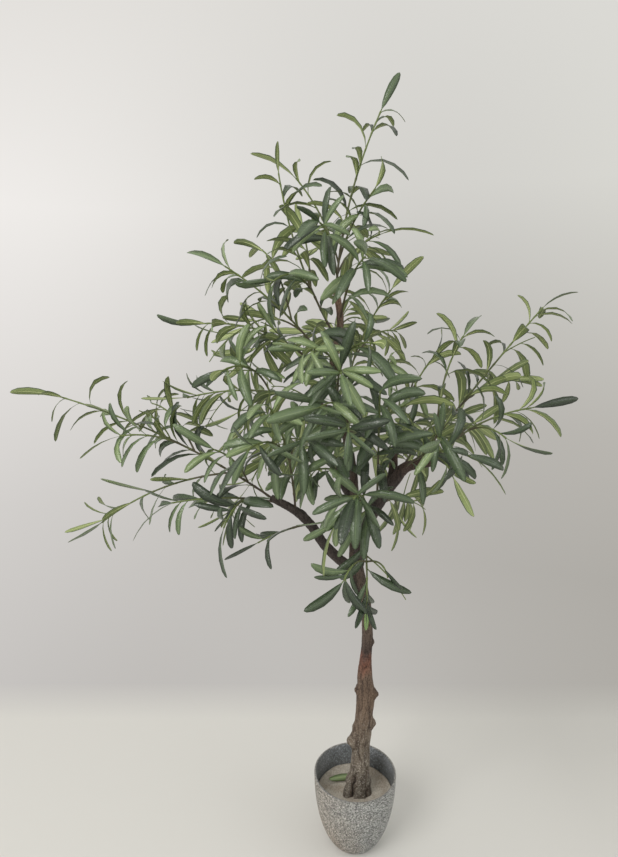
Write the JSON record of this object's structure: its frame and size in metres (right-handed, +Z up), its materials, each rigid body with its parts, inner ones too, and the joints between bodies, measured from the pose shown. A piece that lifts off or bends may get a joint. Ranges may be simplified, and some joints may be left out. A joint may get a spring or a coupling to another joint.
{
  "type": "artificial olive tree in a pot",
  "caption": "Artificial olive tree about 1.5 m tall: knobbly slender trunk, forked boughs and an open crown of narrow green leaves, set in cement in a small round speckled grey pot.",
  "frame": {"origin": "centre of the pot's flat underside", "axes": "+Z up the trunk; the crown reaches furthest towards -X; the front of the tree faces -Y"},
  "size_m": [1.0182, 0.6592, 1.5193],
  "materials": {
    "pot": "mid grey moulded pot with a fine dark and pale speckle, satin",
    "filler": "rough pale grey cement",
    "bark": "dull brown bark with knobs and fine ridges, redder higher up",
    "foliage": "satin grey-green leaves with a paler underside on thin green and brown twigs"
  },
  "bodies": {
    "root": {"pot": "pot", "filler": "filler", "trunk": "bark", "left_bough": "bark", "right_bough": "bark", "right_fork": "bark", "middle_bough": "bark", "crown_top": "foliage", "crown_top_left": "foliage", "crown_middle": "foliage", "upper_left": "foliage", "upper_left_low": "foliage", "mid_left": "foliage", "left_reach": "foliage", "left_low": "foliage", "left_under": "foliage", "left_inner": "foliage", "middle_front": "foliage", "fork_front": "foliage", "centre_low_front": "foliage", "centre_front": "foliage", "centre_high_front": "foliage", "right_inner": "foliage", "upper_right": "foliage", "right_mid": "foliage", "right_high": "foliage", "right_arm": "foliage", "right_front": "foliage", "right_back_low": "foliage", "right_back": "foliage", "back_left": "foliage", "back_centre": "foliage", "back_high": "foliage"}
  },
  "joints": []
}
